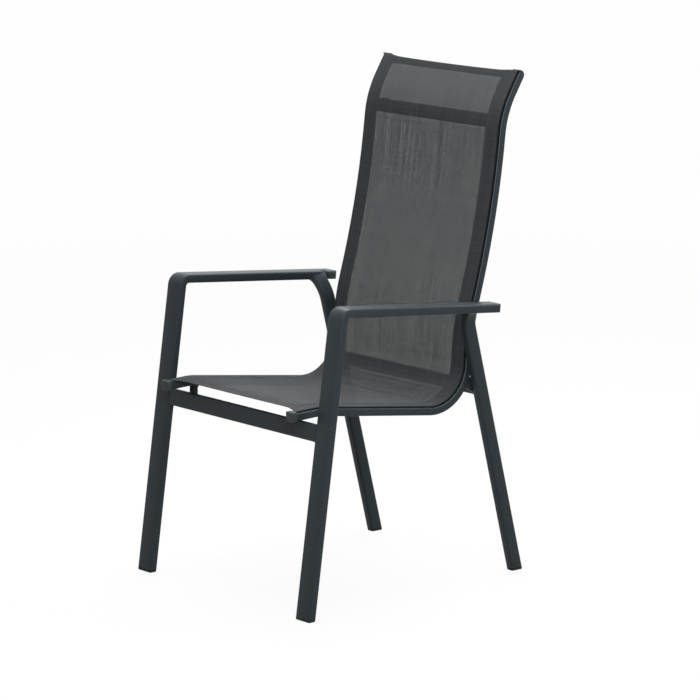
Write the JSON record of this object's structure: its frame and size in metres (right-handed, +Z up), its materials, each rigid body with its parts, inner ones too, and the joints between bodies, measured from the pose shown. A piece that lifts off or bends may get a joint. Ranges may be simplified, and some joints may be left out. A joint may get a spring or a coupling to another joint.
{
  "type": "sling patio chair",
  "caption": "High-backed patio chair with bent tube legs running into flat arms, and one mesh sling held between grooved side rails.",
  "frame": {"origin": "on the floor, under the centre of the chair's bounding box", "axes": "+Z up, -Y towards the chair's front, +X towards the sitter's left"},
  "size_m": [0.5988, 0.6636, 1.0928],
  "materials": {
    "powder_coat": "satin anthracite powder coat on aluminium",
    "cap_plastic": "matt dark grey",
    "glide_plastic": "matt black",
    "sling_mesh": "woven coated-polyester mesh, dark grey",
    "hem_rod": "plain",
    "screw_steel": "plain stainless"
  },
  "bodies": {
    "root": {"front_leg_arm_left": "powder_coat", "front_leg_arm_right": "powder_coat", "rear_leg_left": "powder_coat", "rear_leg_right": "powder_coat", "arm_end_cap_left": "cap_plastic", "arm_end_cap_right": "cap_plastic", "front_glide_left": "glide_plastic", "front_glide_right": "glide_plastic", "rear_glide_left": "glide_plastic", "rear_glide_right": "glide_plastic", "seat_back_rail_left": "powder_coat", "seat_back_rail_right": "powder_coat", "rail_front_cap_left": "cap_plastic", "rail_front_cap_right": "cap_plastic", "rail_top_cap_left": "cap_plastic", "rail_top_cap_right": "cap_plastic", "hem_rod_left": "hem_rod", "hem_rod_right": "hem_rod", "front_rail_plate_left": "powder_coat", "front_rail_plate_right": "powder_coat", "rear_rail_plate_left": "powder_coat", "rear_rail_plate_right": "powder_coat", "spreader_tongue_left": "powder_coat", "spreader_tongue_right": "powder_coat", "spreader_screw_left": "screw_steel", "spreader_screw_right": "screw_steel", "front_crossbar": "powder_coat", "rear_crossbar": "powder_coat", "spreader_bar": "powder_coat", "sling": "sling_mesh"}
  },
  "joints": []
}
